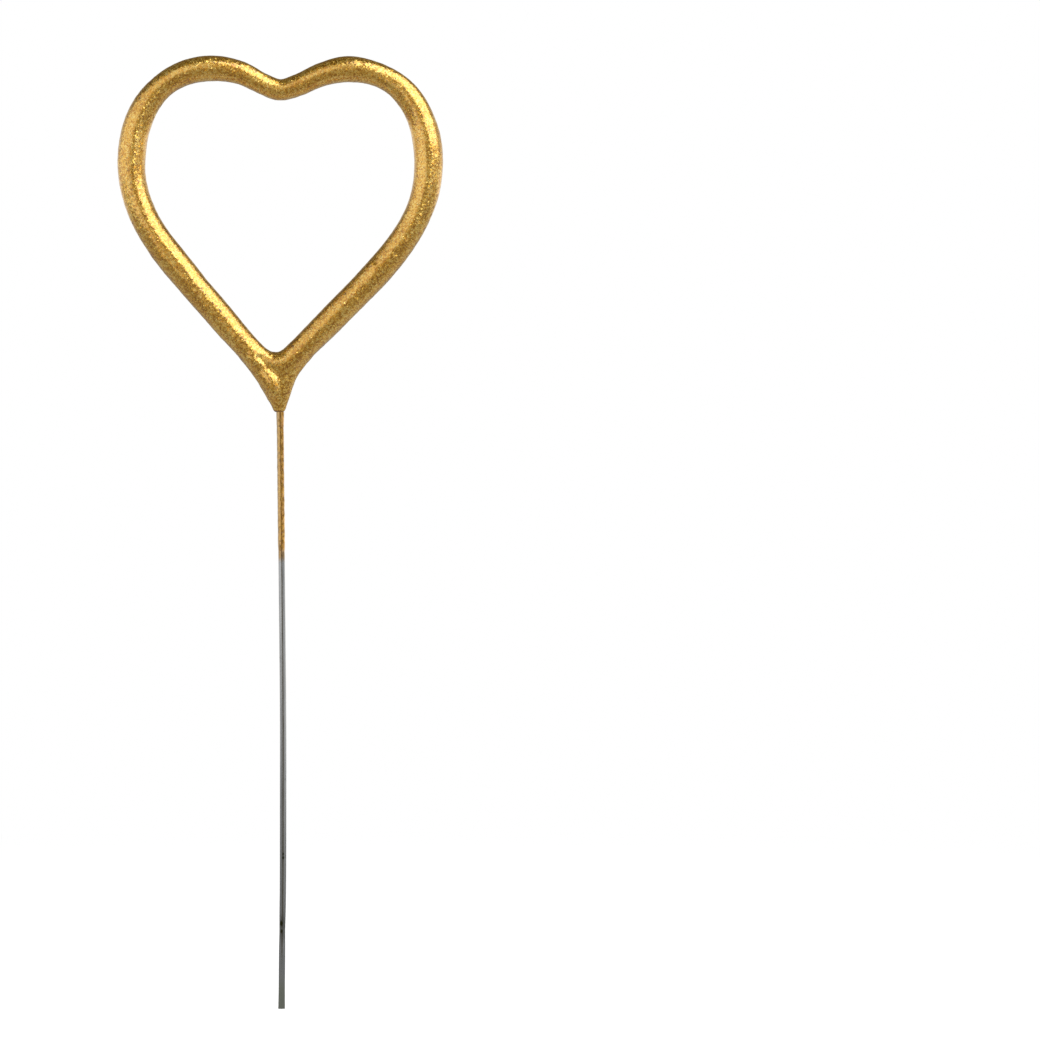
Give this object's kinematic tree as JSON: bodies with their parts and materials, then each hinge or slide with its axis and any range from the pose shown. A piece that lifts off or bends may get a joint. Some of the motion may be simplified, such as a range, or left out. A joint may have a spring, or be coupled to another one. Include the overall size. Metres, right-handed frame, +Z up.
{
  "type": "heart-shaped sparkler",
  "caption": "Heart-shaped hand sparkler: a steel wire bent into a stem and a heart, the heart dipped in composition and gold, held or stuck upright by the bare stem.",
  "frame": {"origin": "middle of the stem's lower cut end", "axes": "+Z up along the stem to the heart, +X across the heart to its right-hand side as seen in the picture, +Y through the heart, away from the viewer"},
  "size_m": [0.0616, 0.0054, 0.1798],
  "materials": {
    "steel_wire": "satin",
    "composition": "matte",
    "gold_coat": "satin",
    "gold_film": "satin"
  },
  "bodies": {
    "root": {"steel_wire": "steel_wire", "composition_core": "composition", "gold_coat": "gold_coat", "stem_gold_film": "gold_film"}
  },
  "joints": []
}
